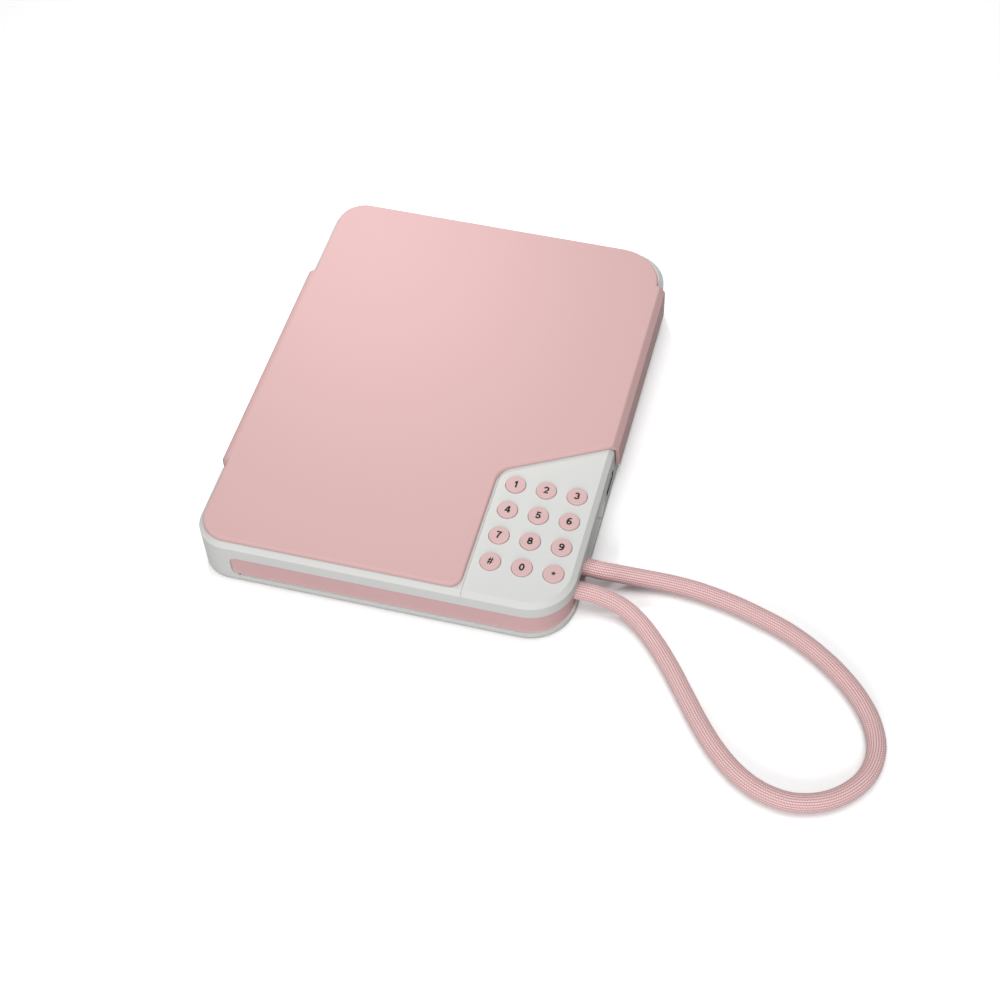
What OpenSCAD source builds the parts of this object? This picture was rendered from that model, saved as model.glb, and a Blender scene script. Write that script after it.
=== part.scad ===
// Electronic secret diary: a flat white case with a pink book-like lid, a twelve-key
// keypad in its corner and a braided wrist rope. Millimetres, +Z up, the origin on the
// table under the middle of the case. The hinge runs along Y on the left (-X).

/* [Case] */
// Width of the white case, left wall to right wall
body_w = 144.6; // [137:0.2:160]
// Depth of the white case, front wall to back wall
body_d = 186; // [176:1:210]
// Height of the deck above the table
deck_z = 21; // [21:0.5:24]
// Radius of the two upright corners on the keypad side, seen from above
corner_r = 17.5; // [14:0.5:20]
// Radius of the two upright corners on the hinge side
spine_r = 13; // [11:0.5:15]
// Height of the 45 degree chamfer round the top of the case
rim_chamfer = 2; // [1.5:0.1:2.2]
// Thickness of the case walls
wall_t = 1.8; // [1.4:0.1:2]
// Thickness of the deck and of the floor
plate_t = 2; // [1.6:0.1:2.2]
// Height of the lower shell's visible edge above the floor's underside
lip_h = 2.4; // [2.2:0.1:3]
// Height of the rubber feet below the floor
foot_h = 0.8; // [0.5:0.1:1.2]
// Radius of the rubber feet
foot_r = 5; // [4:0.5:6]

/* [Side channel] */
// Height of the channel along the front and right walls
channel_h = 10.5; // [9:0.1:11]
// Depth of the channel into the wall
channel_depth = 2; // [1.5:0.1:2.5]
// Distance from the left wall to the channel's left end
channel_left = 14.8; // [13:0.2:40]
// Distance from the front wall to the channel's right-hand end
channel_right = 63.2; // [60:0.2:65]
// Radius of the corners at the channel's left end
channel_end_r = 3; // [2:0.5:4.5]
// Thickness of the wall behind the channel
channel_back_t = 1.6; // [1.2:0.1:2]
// Thickness of the pink band that lies in the channel
band_t = 1.1; // [0.8:0.1:1.4]

/* [Lid] */
// Thickness of the lid's plate
lid_t = 1.6; // [1.4:0.1:2]
// Gap between the closed lid and the deck
lid_gap = 0.2; // [0.2:0.05:0.4]
// Distance from the case's outline in to the lid's edge
lid_inset = 1.9; // [1.7:0.1:2.4]
// Radius of the rounding along the lid's top edge
lid_edge_r = 1; // [0.6:0.1:1.2]
// Radius of the lid's back corner on the keypad side
lid_back_r = 18.5; // [15:0.5:20]
// How far the hinge barrel and the right-hand wrap stand out past the case
side_overhang = 1.5; // [1.2:0.1:1.8]
// Thickness of the wrap's wall
wrap_t = 1.6; // [1.3:0.1:1.8]
// Height of the wrap's lower edge above the table
wrap_bottom = 6; // [5:0.5:8]
// Distance from the case's middle line to the wrap's back end
wrap_back = 73; // [60:1:74]
// Width of the sloped band between the lid's flat top and the wrap's wall
wrap_bevel_w = 2.2; // [2:0.1:2.8]
// Height of that sloped band
wrap_bevel_h = 2.8; // [2.2:0.1:3.4]

/* [Notch in the lid] */
// Distance from the right wall to the notch's left edge
notch_w = 40.4; // [39:0.2:43]
// Distance from the front wall to the centre of the notch's inner corner
notch_corner_y = 53; // [51:0.5:55]
// Slope of the notch's back edge, in degrees
notch_slope = 27.5; // [20:0.5:30]
// Radius of the notch's inner corner
notch_r = 9; // [6:0.5:12]
// Radius of the lid's corner in front of the notch
notch_front_r = 5; // [3:0.5:6]

/* [Hinge] */
// Radius of the hinge barrel
barrel_r = 4.5; // [4.3:0.1:4.7]
// Length of the hinge barrel
barrel_l = 108; // [90:1:112]
// Length of the tapered stretch at each end of the barrel
barrel_taper_l = 3; // [2:0.5:4]
// Radius of the barrel's ends
barrel_end_r = 2.7; // [2.4:0.1:3.4]
// Distance from the case's middle line to the barrel's middle, to the front
barrel_shift = 2.5; // [0:0.5:5]
// Radius of the steel hinge pin
pin_r = 1.2; // [1:0.05:1.3]
// Gap between the pin and the barrel's bore
pin_fit = 0.05; // [0.03:0.01:0.08]
// Length of pin held at each end of the barrel
pin_seat_l = 8; // [5:0.5:10]
// Clearance round the turning lid
hinge_gap = 0.4; // [0.3:0.05:0.5]

/* [Keys] */
// Radius of a key
key_r = 3.9; // [3.6:0.1:4.2]
// How far a key stands above the deck
key_proud = 0.6; // [0.5:0.1:1.2]
// Distance between key columns
key_pitch_x = 12; // [11.8:0.1:12.4]
// Distance between key rows
key_pitch_y = 12.2; // [11.8:0.1:12.6]
// Distance from the right wall to the last key column
key_side = 8.6; // [8.2:0.1:9]
// Distance from the front wall to the first key row
key_front = 16.5; // [15:0.1:17]
// Gap between a key and its hole
key_gap = 0.15; // [0.1:0.05:0.3]
// Travel of a key
key_travel = 0.8; // [0.6:0.1:0.9]
// Height of the flange that keeps a key in
flange_t = 1.2; // [1:0.1:1.4]
// How far the flange reaches past the key
flange_w = 0.8; // [0.6:0.1:1]

/* [Notebook] */
// Width of the deck between the notebook's well and the notch
well_side = 3.6; // [3.4:0.2:8]
// Thickness of the notebook with its covers
book_t = 10; // [8:0.5:10.5]
// Gap round the notebook in its well
book_gap = 1; // [0.6:0.1:2]
// Width of the rim between the well and the front and back walls
rim_w = 7; // [6.5:0.1:8]

/* [Keepsake tray] */
// Width of the tray
tray_w = 25; // [18:1:27]
// Depth of the tray from front to back
tray_d = 56; // [40:1:58]
// Height of the tray's floor above the table
tray_floor = 10; // [9.5:0.5:12]

/* [Lock] */
// Radius of the latch bolt
bolt_r = 2; // [1.6:0.1:2.2]
// Travel of the latch bolt
bolt_travel = 4; // [3.4:0.1:4.2]
// Thickness of the strike plate on the lid
strike_t = 1.6; // [1.2:0.1:1.8]
// Width of the strike plate
strike_w = 10; // [9:0.5:11]
// Distance from the case's middle line to the lock, to the back
lock_y = 10; // [8:0.5:12]

/* [Rope] */
// Diameter of the rope
rope_d = 7; // [6.5:0.1:7.2]

/* [Hidden] */
$fn = 64;
eps = 0.01;

white = "whitesmoke";
pink = "#dba6a6";
half_w = body_w / 2;
half_d = body_d / 2;

// Heights, from the table up
floor_z = foot_h;
inside_z = floor_z + plate_t;
split_z = floor_z + lip_h;
crease_z = deck_z - rim_chamfer;
under_deck_z = deck_z - plate_t;
channel_top = split_z + channel_h;
channel_mid = split_z + channel_h / 2;
lid_bottom = deck_z + lid_gap;
lid_top = lid_bottom + lid_t;

// Hinge line and lid outline
hinge_x = barrel_r - half_w - side_overhang;
hinge_z = lid_top - barrel_r;
barrel_y0 = -barrel_shift - barrel_l / 2;
barrel_y1 = barrel_y0 + barrel_l;
cove_r = barrel_r + hinge_gap;
pin_l = barrel_l + 2 * (hinge_gap + pin_seat_l - 1);
lid_left = lid_inset - half_w;
lid_front = lid_inset - half_d;
lid_corner = spine_r - lid_inset;
lid_right = half_w - lid_inset;
wrap_x = half_w + side_overhang;
wrap_flat_x = wrap_x - wrap_bevel_w;
wrap_round_x = wrap_flat_x - 0.7;
wrap_recess = wrap_t + hinge_gap - side_overhang;
notch_x = half_w - notch_w;
notch_cx = notch_x + notch_r;
notch_cy = notch_corner_y - half_d;
notch_turn = 90 + notch_slope;
notch_edge_x = notch_cx + notch_r * cos(notch_turn);
notch_edge_y = notch_cy + notch_r * sin(notch_turn);
notch_end_x = wrap_x + 4;
notch_end_y = notch_edge_y + (notch_end_x - notch_edge_x) * tan(notch_slope);
wrap_front = notch_edge_y + (half_w - notch_edge_x) * tan(notch_slope);
wrap_lean = 14;
bevel_w = 3.6;
bevel_h = 1.1;

// Keypad
seam_gap = 0.1;
seam_x = notch_x + 0.8;
deck_back = wrap_front + 8;
key_x0 = half_w - key_side - 2 * key_pitch_x;
key_y0 = key_front - half_d;
key_top = deck_z + key_proud;
flange_gap = 0.3;
flange_top = under_deck_z - flange_gap;
flange_bottom = flange_top - flange_t;
stem_r = 1.5;
stem_l = 0.5;
membrane_t = 0.4;
dome_h = 0.5;
dome_foot_r = 3.6;
dome_top_r = 3;
dome_hole_r = 2;
membrane_top = flange_bottom - key_travel - dome_h - 0.1;
board_t = 1.6;
board_top = membrane_top - membrane_t;
board_bottom = board_top - board_t;
board_x0 = seam_x + 2;
board_x1 = half_w - wall_t - 2.4;
board_r = 4;
board_y0 = key_y0 - flange_w - key_r - 1;
board_y1 = key_y0 + 3 * key_pitch_y + key_r + flange_w + 1;

// Notebook well and keepsake tray
well_x0 = hinge_x + cove_r + 1.6;
well_x1 = notch_x - well_side;
book_w = well_x1 - well_x0 - 2 * book_gap;
well_half = half_d - rim_w;
well_r = 6;
tub_t = 1.6;
book_top = deck_z - 1.4;
well_floor = book_top - book_t;
book_r = well_r - book_gap;
cover_t = 0.8;
tray_x1 = half_w - 13;
tray_x0 = tray_x1 - tray_w;
tray_y1 = half_d - rim_w;
tray_y0 = tray_y1 - tray_d;
tray_r = 4;

// Inner fittings
main_t = 1.6;
main_bottom = inside_z + 2.4;
main_top = main_bottom + main_t;
main_w = 38;
main_d = 27;
main_x0 = half_w - main_w;
main_x1 = half_w - channel_depth - channel_back_t - 0.4;
port_y = channel_right - half_d + 9;
main_y0 = port_y - main_d / 2 - 2.5;
chip_size = [9, 9, 1.2];
coil_size = [5, 4, 1];
port_half = 3.35;
port_r = 1.6;
port_z = main_top + port_r;
port_l = 9.5;
port_gap = 0.15;
port_inset = 0.6;
seal_half = 3.6;
seal_r = 2.3;
seal_t = 1.4;
seal_inset = 0.9;
anchor_x1 = half_w - channel_depth - channel_back_t - 1;
anchor_x0 = anchor_x1 - 10;
anchor_top = channel_mid + rope_d / 2 + 1.2;
rope_front = 20;
rope_pitch = 11;
rope_back_y = rope_front + rope_pitch - half_d;
rope_front_y = rope_front - half_d;
rope_hole_r = rope_d / 2 + 0.4;
rope_start_x = anchor_x1;
battery_size = [60, 40, well_floor - tub_t - inside_z - 0.3];
battery_pos = [-46, -20];
speaker_r = 11;
speaker_h = 4.4;
speaker_x = (tray_x0 + tray_x1) / 2;
speaker_y = (tray_y0 + tray_y1) / 2;
strike_x = half_w - 10;
window_r = bolt_r + 0.5;
solenoid_x0 = strike_x - 24;
solenoid_x1 = strike_x - 8;
solenoid_w = 14;
solenoid_h = 11;
lock_z = under_deck_z - 0.3 - solenoid_h / 2;
solenoid_z0 = lock_z - solenoid_h / 2;
strike_drop = lid_bottom - lock_z + window_r + 1.5;
bolt_tip = strike_x - 1;
collar_t = 1;
collar_x = strike_x - bolt_travel - collar_t - 0.5;
screw_r = 1.3;
screw_head_r = 2.6;
screw_l = 6;
pilot_l = screw_l - plate_t + 1;
boss_r = 3;
screw_spots = [[well_x0 + 20, -well_half + 8], [well_x1 - 8, -well_half + 8],
    [well_x0 + 20, well_half - 8], [well_x1 - 8, well_half - 8],
    [half_w - 7.5, half_d - 20], [half_w - 7.5, lock_y + 14]];
foot_spots = [[-half_w + 13, -half_d + 13], [half_w - 13, -half_d + 13],
    [-half_w + 13, half_d - 13], [half_w - 13, half_d - 13]];

// Route of the wrist rope: out of the case, round in a loop on the table and back in
table_rope_z = rope_d / 2 + 0.1;
rope_route = [
    [rope_start_x, rope_back_y, channel_mid], [72, rope_back_y, channel_mid],
    [79, -61.8, 7.8], [86, -60.4, 6], [94, -59.2, 4.4], [104, -58.6, table_rope_z],
    [115, -59.4, table_rope_z], [127, -61.6, table_rope_z], [139, -65, table_rope_z],
    [151, -69.4, table_rope_z], [162, -75.4, table_rope_z], [172, -82.8, table_rope_z],
    [180.4, -91.2, table_rope_z], [186.6, -100.6, table_rope_z],
    [189.6, -110.8, table_rope_z], [188.2, -121, table_rope_z],
    [182.6, -129.4, table_rope_z], [174.4, -135.4, table_rope_z],
    [164, -138.2, table_rope_z], [153.6, -136.8, table_rope_z],
    [144.4, -132.4, table_rope_z], [135.8, -125.4, table_rope_z],
    [128, -116.6, table_rope_z], [120.4, -106.4, table_rope_z],
    [112.4, -95.4, table_rope_z], [104.6, -86, table_rope_z],
    [97, -78.8, 4.2], [89.6, -74.6, 5.6], [82, -73.2, 7.4],
    [74, rope_front_y, channel_mid], [rope_start_x, rope_front_y, channel_mid]];

// Outline of the case seen from above, drawn in by a distance: small corners on the
// hinge side, larger ones on the keypad side
module case_outline(inset) {
    x0 = inset - half_w;
    x1 = half_w - inset;
    y1 = half_d - inset;
    r0 = spine_r - inset;
    r1 = corner_r - inset;
    translate([x0 + r0, -y1]) square([x1 - r1 - x0 - r0, 2 * y1]);
    translate([x0, r0 - y1]) square([-x0, 2 * (y1 - r0)]);
    translate([0, r1 - y1]) square([x1, 2 * (y1 - r1)]);
    for (s = [-1, 1]) {
        translate([x0 + r0, s * (y1 - r0)]) circle(r0);
        translate([x1 - r1, s * (y1 - r1)]) circle(r1);
    }
}

// Solid slab of the case's outline between two heights
module case_slab(z0, z1, inset = 0) {
    translate([0, 0, z0]) linear_extrude(z1 - z0) case_outline(inset);
}

// Block of the case's outline with a 45 degree chamfer round its top
module case_block(z0, z1, c) {
    for (s = [-1, 1]) {
        translate([spine_r - half_w, s * (half_d - spine_r), 0])
            block_corner(spine_r, z0, z1, c);
        translate([half_w - corner_r, s * (half_d - corner_r), 0])
            block_corner(corner_r, z0, z1, c);
    }
    translate([spine_r - half_w, 0, 0]) rotate([90, 0, 90])
        linear_extrude(body_w - spine_r - corner_r)
            polygon([[-half_d, z0], [half_d, z0], [half_d, z1 - c], [half_d - c, z1],
                [c - half_d, z1], [-half_d, z1 - c]]);
    translate([0, half_d - spine_r, 0]) rotate([90, 0, 0])
        linear_extrude(body_d - 2 * spine_r)
            polygon([[-half_w, z0], [0, z0], [0, z1], [c - half_w, z1], [-half_w, z1 - c]]);
    translate([0, half_d - corner_r, 0]) rotate([90, 0, 0])
        linear_extrude(body_d - 2 * corner_r)
            polygon([[0, z0], [half_w, z0], [half_w, z1 - c], [half_w - c, z1], [0, z1]]);
}

// Upright corner of that block, turned as one profile
module block_corner(r, z0, z1, c) {
    rotate_extrude($fn = 96)
        polygon([[0, z0], [r, z0], [r, z1 - c], [r - c, z1], [0, z1]]);
}

// Box with rounded upright edges between two corners
module round_box(x0, y0, x1, y1, z0, z1, r) {
    translate([0, 0, z0]) linear_extrude(z1 - z0) {
        translate([x0 + r, y0]) square([x1 - x0 - 2 * r, y1 - y0]);
        translate([x0, y0 + r]) square([x1 - x0, y1 - y0 - 2 * r]);
        for (x = [x0 + r, x1 - r], y = [y0 + r, y1 - r]) translate([x, y]) circle(r);
    }
}

// Front stretch of the channel as a block, from its rounded left end to the right
module channel_front(length) {
    x0 = channel_left - half_w;
    r = channel_end_r;
    translate([0, corner_r - half_d, 0]) rotate([90, 0, 0]) linear_extrude(corner_r + 2) {
        translate([x0 + r, split_z]) square([length - r, channel_h]);
        translate([x0, split_z + r]) square([2 * r, channel_h - 2 * r]);
        for (z = [split_z + r, channel_top - r]) translate([x0 + r, z]) circle(r);
    }
}

// Space of the channel: along the front, round the right corner and up to its end
module channel_space(depth) {
    r = channel_h / 2;
    y1 = channel_right - half_d - r;
    intersection() {
        difference() {
            case_slab(split_z, channel_top, -1);
            case_slab(split_z - 1, channel_top + 1, depth);
        }
        union() {
            channel_front(body_w);
            translate([half_w - corner_r, -half_d - 2, split_z])
                cube([corner_r + 2, y1 + half_d + 2, channel_h]);
            translate([half_w - corner_r, y1, channel_mid]) rotate([0, 90, 0])
                cylinder(h = corner_r + 2, r = r);
        }
    }
}

// Wall behind the channel, joined to the outer wall
module channel_backing() {
    inner = channel_depth + channel_back_t;
    intersection() {
        difference() {
            case_slab(split_z, channel_top + channel_back_t, wall_t - eps);
            case_slab(split_z - 1, channel_top + 5, inner);
        }
        union() {
            translate([channel_left - half_w - 2, -half_d, split_z])
                cube([body_w, corner_r, channel_h + channel_back_t]);
            translate([half_w - corner_r, -half_d, split_z])
                cube([corner_r, channel_right + 2, channel_h + channel_back_t]);
        }
    }
}

// Cove in the case's left edge, in which the hinge barrel turns
module hinge_cove(grow) {
    translate([hinge_x, barrel_y1 + hinge_gap + grow, hinge_z]) rotate([90, 0, 0])
        cylinder(h = barrel_l + 2 * (hinge_gap + grow), r = cove_r + grow);
}

// Blocks inside the case at the barrel's ends, which hold the pin
module pin_seats() {
    for (y = [barrel_y0 - hinge_gap - pin_seat_l, barrel_y1 + hinge_gap])
        translate([-half_w + wall_t - eps, y, hinge_z - pin_r - 2])
            cube([hinge_x + half_w - wall_t + pin_r + 2, pin_seat_l,
                under_deck_z - hinge_z + pin_r + 2 + eps]);
}

// Plan area that the separate keypad panel takes from the deck
module deck_area(gap) {
    translate([seam_x + gap, -half_d - 1])
        square([body_w, deck_back - gap + half_d + 1]);
}

// Recess in the right wall that the lid's wrap closes over
module wrap_pocket() {
    translate([half_w - wrap_recess, wrap_front - 0.5, wrap_bottom - 0.8])
        cube([10, wrap_back - wrap_front + 1, 30]);
}

// Bar with round long edges on the charging port's axis
module pill(x0, length, half, r) {
    for (s = [-1, 1]) translate([x0, port_y + s * half, port_z]) rotate([0, 90, 0])
        cylinder(h = length, r = r);
    translate([x0, port_y - half, port_z - r]) cube([length, 2 * half, 2 * r]);
}

// Screw bosses from under the well and the deck down to the floor
module screw_bosses() {
    for (i = [0 : 5]) {
        top = i < 4 ? well_floor - tub_t / 2 : under_deck_z + eps;
        translate([screw_spots[i].x, screw_spots[i].y, inside_z])
            cylinder(h = top - inside_z, r = boss_r);
    }
}

// Square post of the lower shell under a board
module post(p, top) {
    translate([p.x, p.y, inside_z - eps]) cube([3, 3, top - inside_z + eps]);
}

module lower_shell() {
    color(white) difference() {
        union() {
            case_slab(floor_z, inside_z);
            difference() {
                case_slab(inside_z - eps, split_z);
                case_slab(inside_z - 1, split_z + 1, wall_t);
            }
            for (p = [[board_x0 + 3, board_y0 + 3], [board_x0 + 3, board_y1 - 8],
                [anchor_x0 - 8, board_y0 + 3], [board_x1 - 5, board_y1 - 8]])
                post(p, board_bottom);
            for (y = [main_y0 + 2, main_y0 + main_d - 5], x = [main_x0 + 4, main_x1 - 12])
                post([x, y], main_bottom);
            for (x = [solenoid_x0 + 1, solenoid_x1 - 3])
                translate([x, lock_y - solenoid_w / 2, inside_z - eps])
                    cube([2, solenoid_w, solenoid_z0 - inside_z + eps]);
        }
        for (p = screw_spots) translate([p.x, p.y, floor_z - 1]) {
            cylinder(h = plate_t + 2, r = screw_r + 0.2);
            cylinder(h = 1 + 1.1, r = screw_head_r + 0.2);
        }
        for (p = foot_spots) translate([p.x, p.y, floor_z - 1])
            cylinder(h = 1 + 0.6, r = foot_r);
        for (k = [-3 : 3]) translate([speaker_x - 6, speaker_y + 2.4 * k - 0.6, floor_z - 1])
            cube([12, 1.2, plate_t + 2]);
    }
}

module upper_frame() {
    color(white) difference() {
        union() {
            difference() {
                case_block(split_z, deck_z, rim_chamfer);
                case_slab(split_z - 1, under_deck_z, wall_t);
            }
            channel_backing();
            round_box(well_x0 - tub_t, -well_half - tub_t, well_x1 + tub_t,
                well_half + tub_t, well_floor - tub_t, under_deck_z + eps, well_r + tub_t);
            round_box(tray_x0 - tub_t, tray_y0 - tub_t, tray_x1 + tub_t, tray_y1 + tub_t,
                tray_floor - tub_t, under_deck_z + eps, tray_r + tub_t);
            screw_bosses();
            cove_wall();
            pin_seats();
        }
        hinge_cove(0);
        translate([hinge_x, barrel_y1 + hinge_gap + pin_seat_l - 1, hinge_z])
            rotate([90, 0, 0]) cylinder(h = pin_l, r = pin_r);
        round_box(well_x0, -well_half, well_x1, well_half, well_floor, deck_z + 1, well_r);
        round_box(tray_x0, tray_y0, tray_x1, tray_y1, tray_floor, deck_z + 1, tray_r);
        channel_space(channel_depth);
        translate([0, 0, under_deck_z]) linear_extrude(10) deck_area(0);
        wrap_pocket();
        pill(half_w - 7, 8, seal_half, seal_r + port_gap);
        for (y = [rope_front_y, rope_back_y])
            translate([anchor_x1 - 3, y, channel_mid]) rotate([0, 90, 0])
                cylinder(h = 20, r = rope_hole_r);
        translate([strike_x - 0.5, lock_y - strike_w / 2 - 0.5, under_deck_z - 1])
            cube([strike_t + 1, strike_w + 1, 10]);
        for (p = screw_spots) translate([p.x, p.y, inside_z - 1])
            cylinder(h = 1 + pilot_l, r = screw_r - 0.1);
    }
}

// Wall that closes the case behind the hinge cove
module cove_wall() {
    intersection() {
        case_slab(split_z, under_deck_z + eps, 1);
        hinge_cove(tub_t);
    }
}

module keypad_deck() {
    color(white) difference() {
        intersection() {
            case_block(split_z, deck_z, rim_chamfer);
            translate([0, 0, under_deck_z]) linear_extrude(10) deck_area(seam_gap);
        }
        for (row = [0 : 3], col = [0 : 2])
            translate([key_x0 + col * key_pitch_x, key_y0 + row * key_pitch_y,
                under_deck_z - 1]) cylinder(h = 10, r = key_r + key_gap);
        translate([0, 0, -eps]) wrap_pocket();
    }
}

module accent_band() {
    color(pink) intersection() {
        difference() {
            translate([0, 0, split_z]) linear_extrude(channel_h)
                case_outline(channel_depth - band_t);
            case_slab(split_z - 1, channel_top + 1, channel_depth);
        }
        intersection() {
            channel_front(body_w);
            translate([-half_w, -half_d, 0])
                cube([body_w, rope_front - rope_hole_r, deck_z]);
        }
    }
}

// One key: domed cap, retaining flange and short stem, turned as one profile
module key(col, row) {
    cap_round = 0.4;
    translate([key_x0 + col * key_pitch_x, key_y0 + row * key_pitch_y, 0])
        color(pink) rotate_extrude($fn = 48) difference() {
            union() {
                translate([0, flange_bottom - stem_l]) square([stem_r, stem_l + eps]);
                translate([0, flange_bottom]) square([key_r + flange_w, flange_t]);
                translate([0, flange_bottom]) square([key_r, key_top - flange_bottom - cap_round]);
                translate([0, flange_bottom])
                    square([key_r - cap_round, key_top - flange_bottom]);
                translate([key_r - cap_round, key_top - cap_round]) circle(cap_round);
            }
            translate([-10, flange_bottom - 5]) square([10, 20]);
        }
}

module key_1() { key(0, 3); }
module key_2() { key(1, 3); }
module key_3() { key(2, 3); }
module key_4() { key(0, 2); }
module key_5() { key(1, 2); }
module key_6() { key(2, 2); }
module key_7() { key(0, 1); }
module key_8() { key(1, 1); }
module key_9() { key(2, 1); }
module key_hash() { key(0, 0); }
module key_0() { key(1, 0); }
module key_star() { key(2, 0); }

module keypad_membrane() {
    color("lightgray") {
        round_box(board_x0, board_y0, board_x1, board_y1, board_top, membrane_top, board_r);
        for (row = [0 : 3], col = [0 : 2])
            translate([key_x0 + col * key_pitch_x, key_y0 + row * key_pitch_y,
                membrane_top - eps])
                difference() {
                    cylinder(h = dome_h + eps, r1 = dome_foot_r, r2 = dome_top_r);
                    translate([0, 0, -1]) cylinder(h = dome_h + 2, r = dome_hole_r);
                }
    }
}

module keypad_board() {
    color("seagreen")
        round_box(board_x0, board_y0, board_x1, board_y1, board_bottom, board_top, board_r);
}

module main_board() {
    color("seagreen") translate([main_x0, main_y0, main_bottom])
        cube([main_x1 - main_x0, main_d, main_t]);
    color("dimgray") {
        translate([main_x0 + 8, main_y0 + 12, main_top - eps]) cube(chip_size);
        translate([main_x0 + 4, main_y0 + 3, main_top - eps]) cube(coil_size);
    }
}

// Receptacle of the charging port: a stadium-shaped metal shell with a tongue inside
module charge_port() {
    x0 = half_w - port_inset - port_l;
    color("silver") difference() {
        pill(x0, port_l, port_half, port_r);
        pill(x0 + 2, port_l, port_half, port_r - 0.3);
    }
    color("dimgray") translate([x0 + 2 - eps, port_y - 3.3, port_z - 0.35])
        cube([port_l - 2.6, 6.6, 0.7]);
}

// Black bezel round the receptacle, set back in the wall's opening
module port_seal() {
    x0 = half_w - seal_inset - seal_t;
    color("dimgray") difference() {
        pill(x0, seal_t, seal_half, seal_r);
        pill(x0 - 1, seal_t + 2, port_half, port_r + port_gap);
    }
}

module battery() {
    color("silver")
        round_box(battery_pos.x, battery_pos.y, battery_pos.x + battery_size.x,
            battery_pos.y + battery_size.y, inside_z, inside_z + battery_size.z, 2);
}

module speaker() {
    color("dimgray") translate([speaker_x, speaker_y, inside_z]) {
        difference() {
            cylinder(h = speaker_h, r = speaker_r);
            translate([0, 0, -1]) cylinder(h = 1.8, r = speaker_r - 1.5);
        }
    }
}

module lock_solenoid() {
    color("slategray") difference() {
        translate([solenoid_x0, lock_y - solenoid_w / 2, solenoid_z0])
            cube([solenoid_x1 - solenoid_x0, solenoid_w, solenoid_h]);
        translate([solenoid_x0 + 3, lock_y, lock_z]) rotate([0, 90, 0])
            cylinder(h = 50, r = bolt_r + pin_fit);
    }
}

module latch_bolt() {
    x0 = solenoid_x1 - 9;
    color("silver") translate([0, lock_y, lock_z]) rotate([0, 90, 0]) {
        translate([0, 0, x0]) cylinder(h = bolt_tip - 0.6 - x0, r = bolt_r);
        translate([0, 0, bolt_tip - 0.6 - eps])
            cylinder(h = 0.6 + eps, r1 = bolt_r, r2 = bolt_r - 0.6);
        translate([0, 0, collar_x]) cylinder(h = collar_t, r = bolt_r + 1.2);
    }
}

module latch_spring() {
    color("gray") translate([solenoid_x1, lock_y, lock_z]) rotate([0, 90, 0]) difference() {
        cylinder(h = collar_x - solenoid_x1, r = bolt_r + 1.1);
        translate([0, 0, -1]) cylinder(h = 20, r = bolt_r + 0.3);
    }
}

// Profile of the lid's rounded edge: flat top inwards, quarter round outwards
module edge_profile() {
    translate([-lid_edge_r - 4, 0]) square([4 + eps, lid_t]);
    translate([-lid_edge_r, 0]) square([lid_edge_r, lid_t - lid_edge_r]);
    intersection() {
        translate([-lid_edge_r, lid_t - lid_edge_r]) circle(lid_edge_r, $fn = 48);
        translate([-lid_edge_r, 0]) square([lid_edge_r, lid_t]);
    }
}

// Straight stretch of the lid's edge, from one point to the next, plate on the left
module edge_run(a, b) {
    length = norm(b - a);
    angle = atan2(b.y - a.y, b.x - a.x);
    translate([a.x, a.y, lid_bottom]) rotate([0, 0, angle]) rotate([90, 0, 90])
        linear_extrude(length) mirror([1, 0]) edge_profile();
}

// Rounded outer corner of the lid's edge
module edge_corner(cx, cy, r, from, sweep) {
    translate([cx, cy, lid_bottom]) rotate([0, 0, from])
        rotate_extrude(angle = sweep, $fn = 96) intersection() {
            translate([r, 0]) edge_profile();
            square([r, lid_t]);
        }
}

// Rounded inner corner of the notch
module edge_inner_corner(cx, cy, r, from, sweep) {
    translate([cx, cy, lid_bottom]) rotate([0, 0, from])
        rotate_extrude(angle = sweep, $fn = 96) translate([r, 0]) mirror([1, 0])
            edge_profile();
}

// Flat field of the lid, from under its rounded edges inwards
module lid_field() {
    e = lid_edge_r + 2;
    r = lid_corner - e;
    r1 = lid_back_r - e;
    x0 = lid_left + e;
    x1 = lid_right - e;
    y1 = -lid_front - e;
    difference() {
        union() {
            translate([x0 + r, -y1]) square([x1 - r1 - x0 - r, 2 * y1]);
            translate([x0, r - y1]) square([x1 - r1 - x0, 2 * (y1 - r)]);
            translate([x0 + r, -y1]) square([x1 - x0 - r, 2 * y1 - r1]);
            for (s = [-1, 1]) translate([x0 + r, s * (y1 - r)]) circle(r);
            translate([x1 - r1, y1 - r1]) circle(r1);
        }
        field_notch(e);
    }
}

// Cut-out of the field round the notch, whose corners all lie under the rounded edges
module field_notch(grow) {
    past = 1;
    half_turn = 90 + notch_turn / 2;
    corner_r = notch_r + grow + past / 2;
    nx = grow * cos(notch_turn) + past * cos(notch_slope);
    ny = grow * sin(notch_turn) + past * sin(notch_slope);
    polygon([
        [notch_x - grow, -half_d - 10], [notch_end_x + 10, -half_d - 10],
        [notch_end_x + nx, notch_end_y + ny], [notch_edge_x + nx, notch_edge_y + ny],
        [notch_cx + corner_r * cos(half_turn), notch_cy + corner_r * sin(half_turn)],
        [notch_x - grow, notch_cy - past]]);
}

// Plan area of the notch over the keypad, grown by a distance
module notch_area(grow) {
    nx = grow * cos(notch_turn);
    ny = grow * sin(notch_turn);
    polygon([
        [notch_x - grow, notch_cy], [notch_x - grow, -half_d - 10],
        [notch_end_x + 10, -half_d - 10], [notch_end_x + nx, notch_end_y + ny],
        [notch_edge_x + nx, notch_edge_y + ny], [notch_cx, notch_cy]]);
    translate([notch_cx, notch_cy]) circle(notch_r + grow, $fn = 96);
}

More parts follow.
